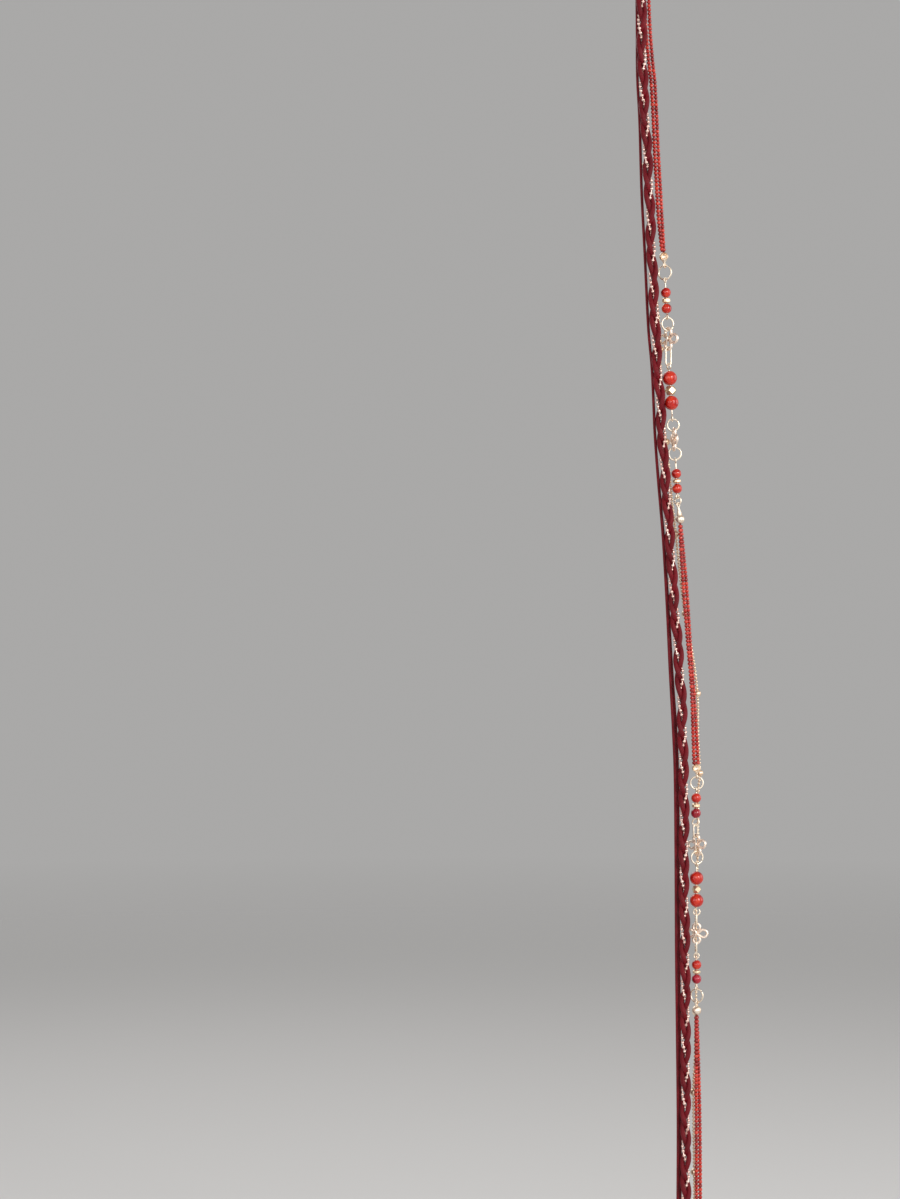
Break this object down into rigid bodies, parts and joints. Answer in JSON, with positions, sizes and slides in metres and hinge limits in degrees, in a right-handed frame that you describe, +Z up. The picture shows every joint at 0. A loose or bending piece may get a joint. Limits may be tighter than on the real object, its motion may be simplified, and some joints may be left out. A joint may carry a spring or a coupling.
{
  "type": "tassel hair clip",
  "caption": "Snap hair clip with a long tassel of burgundy cords, a plait with a ball chain, coral seed-bead strands, a fine ball chain and bead drops with knot-shaped wire flowers.",
  "frame": {"origin": "middle of the clip's grip on the hair, at the middle of its sheet", "axes": "+Z up along the hanging tassel, the front that is seen faces -Y, +X to the viewer's right"},
  "size_m": [0.0337, 0.0104, 0.5458],
  "materials": {
    "gold_metal": "polished rose gold plating",
    "pale_gold_wire": "polished champagne gold plating",
    "copper_gold_wire": "polished warm copper gold plating",
    "spacers": "faceted, polished gold plating",
    "satin_cord": "smooth satin cord",
    "braided_cord": "satin cord plaited with a metal ball chain",
    "seed_beads": "opaque glossy coral-red glass",
    "round_beads": "polished, slightly translucent coral-red stone"
  },
  "bodies": {
    "root": {"snap_clip": "gold_metal", "gather_ring": "gold_metal", "strand_cap": "gold_metal", "plait_end": "gold_metal", "satellite_chain": "gold_metal", "straight_cord_front": "satin_cord", "straight_cord_back": "satin_cord", "plait": "braided_cord", "seed_strand_upper_left": "seed_beads", "seed_strand_upper_right": "seed_beads", "seed_strand_middle_left": "seed_beads", "seed_strand_middle_right": "seed_beads", "seed_strand_lower_left": "seed_beads", "seed_strand_lower_right": "seed_beads", "bead_tip_1": "pale_gold_wire", "bead_tip_2": "pale_gold_wire", "bead_tip_3": "pale_gold_wire", "bead_tip_4": "pale_gold_wire", "ring_1": "pale_gold_wire", "ring_2": "pale_gold_wire", "ring_3": "pale_gold_wire", "ring_4": "pale_gold_wire", "ring_5": "pale_gold_wire", "ring_6": "pale_gold_wire", "ring_7": "pale_gold_wire", "ring_8": "pale_gold_wire", "link_1": "pale_gold_wire", "link_2": "pale_gold_wire", "link_3": "pale_gold_wire", "link_4": "pale_gold_wire", "eye_pin_1": "pale_gold_wire", "eye_pin_2": "pale_gold_wire", "eye_pin_3": "pale_gold_wire", "eye_pin_4": "pale_gold_wire", "eye_pin_5": "pale_gold_wire", "eye_pin_6": "pale_gold_wire", "flower_1": "copper_gold_wire", "flower_2": "copper_gold_wire", "flower_3": "copper_gold_wire", "flower_4": "copper_gold_wire", "small_bead_1": "round_beads", "small_bead_2": "round_beads", "small_bead_3": "round_beads", "small_bead_4": "round_beads", "small_bead_5": "round_beads", "small_bead_6": "round_beads", "small_bead_7": "round_beads", "small_bead_8": "round_beads", "large_bead_1": "round_beads", "large_bead_2": "round_beads", "large_bead_3": "round_beads", "large_bead_4": "round_beads", "spacer_1": "spacers", "spacer_2": "spacers", "spacer_3": "spacers", "spacer_4": "spacers", "spacer_5": "spacers", "spacer_6": "spacers"}
  },
  "joints": []
}
